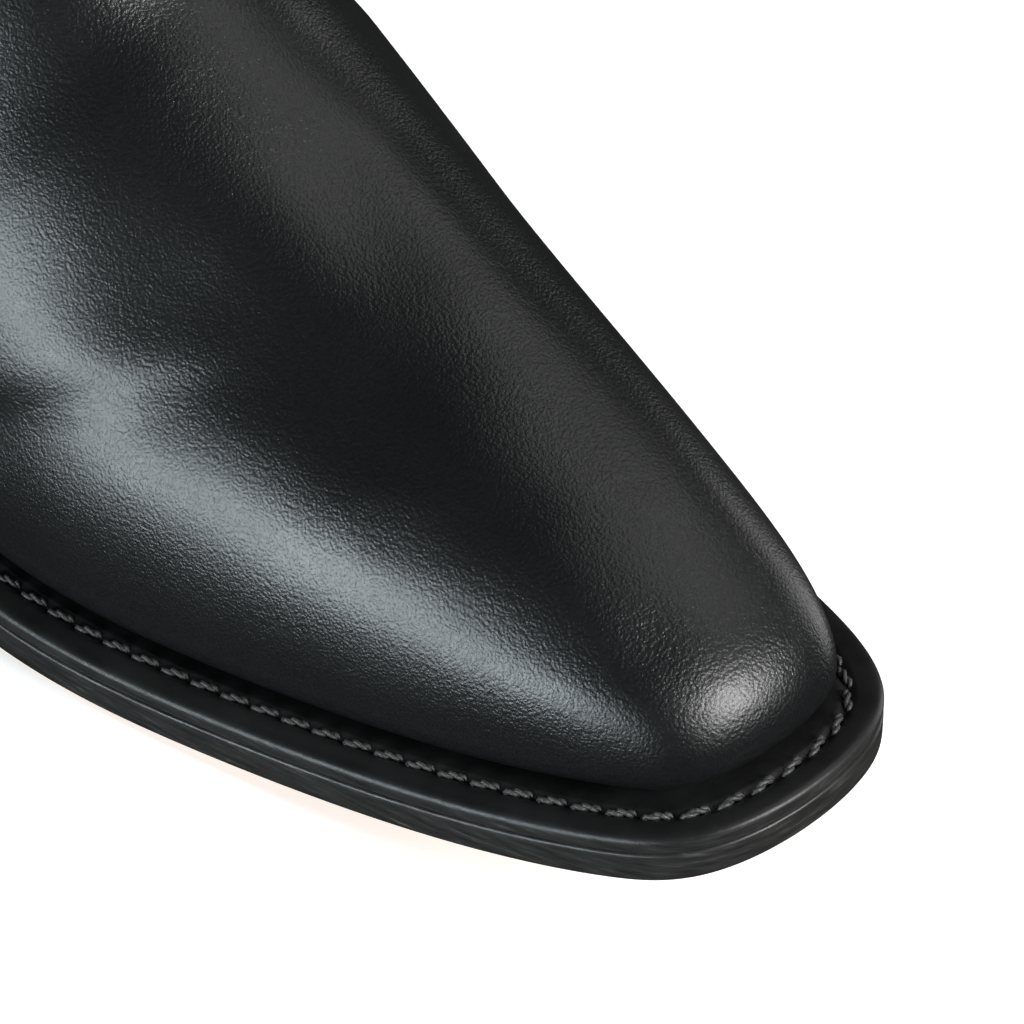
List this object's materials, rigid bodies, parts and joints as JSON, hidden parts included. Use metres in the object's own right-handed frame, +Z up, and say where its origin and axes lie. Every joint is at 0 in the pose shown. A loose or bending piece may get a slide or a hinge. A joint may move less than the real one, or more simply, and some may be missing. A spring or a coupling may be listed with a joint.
{
  "type": "cowboy boot",
  "caption": "Pull-on leather boot with a soft square toe, stitched welt, stacked underslung heel, scalloped shaft and pull straps.",
  "frame": {"origin": "centre of the bounding box, on the surface that the boot stands on", "axes": "+X towards the toe, +Y to the medial side of this right boot, +Z up the shaft"},
  "size_m": [0.2906, 0.101, 0.344],
  "materials": {
    "upper_leather": "smooth black semi-gloss, fine grain",
    "welt_leather": "black, burnished edge",
    "sole_leather": "natural tan underside, black edge",
    "heel_leather": "black stacked leather, burnished",
    "insole_leather": "natural",
    "lining_leather": "natural tan, smooth",
    "stiffener_board": "moulded leatherboard",
    "backer_cloth": "woven cotton backing",
    "cork": "cork composition",
    "peg_wood": "pale wooden pegs",
    "top_lift_rubber": "matte black rubber",
    "brass_nails": "brass heads",
    "shank_steel": "spring steel",
    "thread": "waxed black twisted thread"
  },
  "bodies": {
    "root": {"outsole": "sole_leather", "welt": "welt_leather", "heel_seat_rand": "welt_leather", "welt_stitching": "thread", "waist_pegs": "peg_wood", "cork_filler": "cork", "steel_shank": "shank_steel", "insole": "insole_leather", "sock_lining": "lining_leather", "top_binding": "upper_leather", "heel_top_lift": "top_lift_rubber", "heel_nails": "brass_nails", "vamp": "upper_leather", "counter_cover": "upper_leather", "toe_puff": "stiffener_board", "vamp_backer": "backer_cloth", "shaft_front": "upper_leather", "heel_stiffener": "stiffener_board", "shaft_back": "upper_leather", "vamp_lining": "lining_leather", "shaft_front_lining": "lining_leather", "shaft_back_lining": "lining_leather", "side_piping_lateral": "upper_leather", "side_piping_medial": "upper_leather", "pull_strap_lateral": "upper_leather", "pull_strap_medial": "upper_leather", "heel_lift_1": "heel_leather", "heel_lift_2": "heel_leather", "heel_lift_3": "heel_leather", "heel_lift_4": "heel_leather", "heel_lift_5": "heel_leather"}
  },
  "joints": []
}
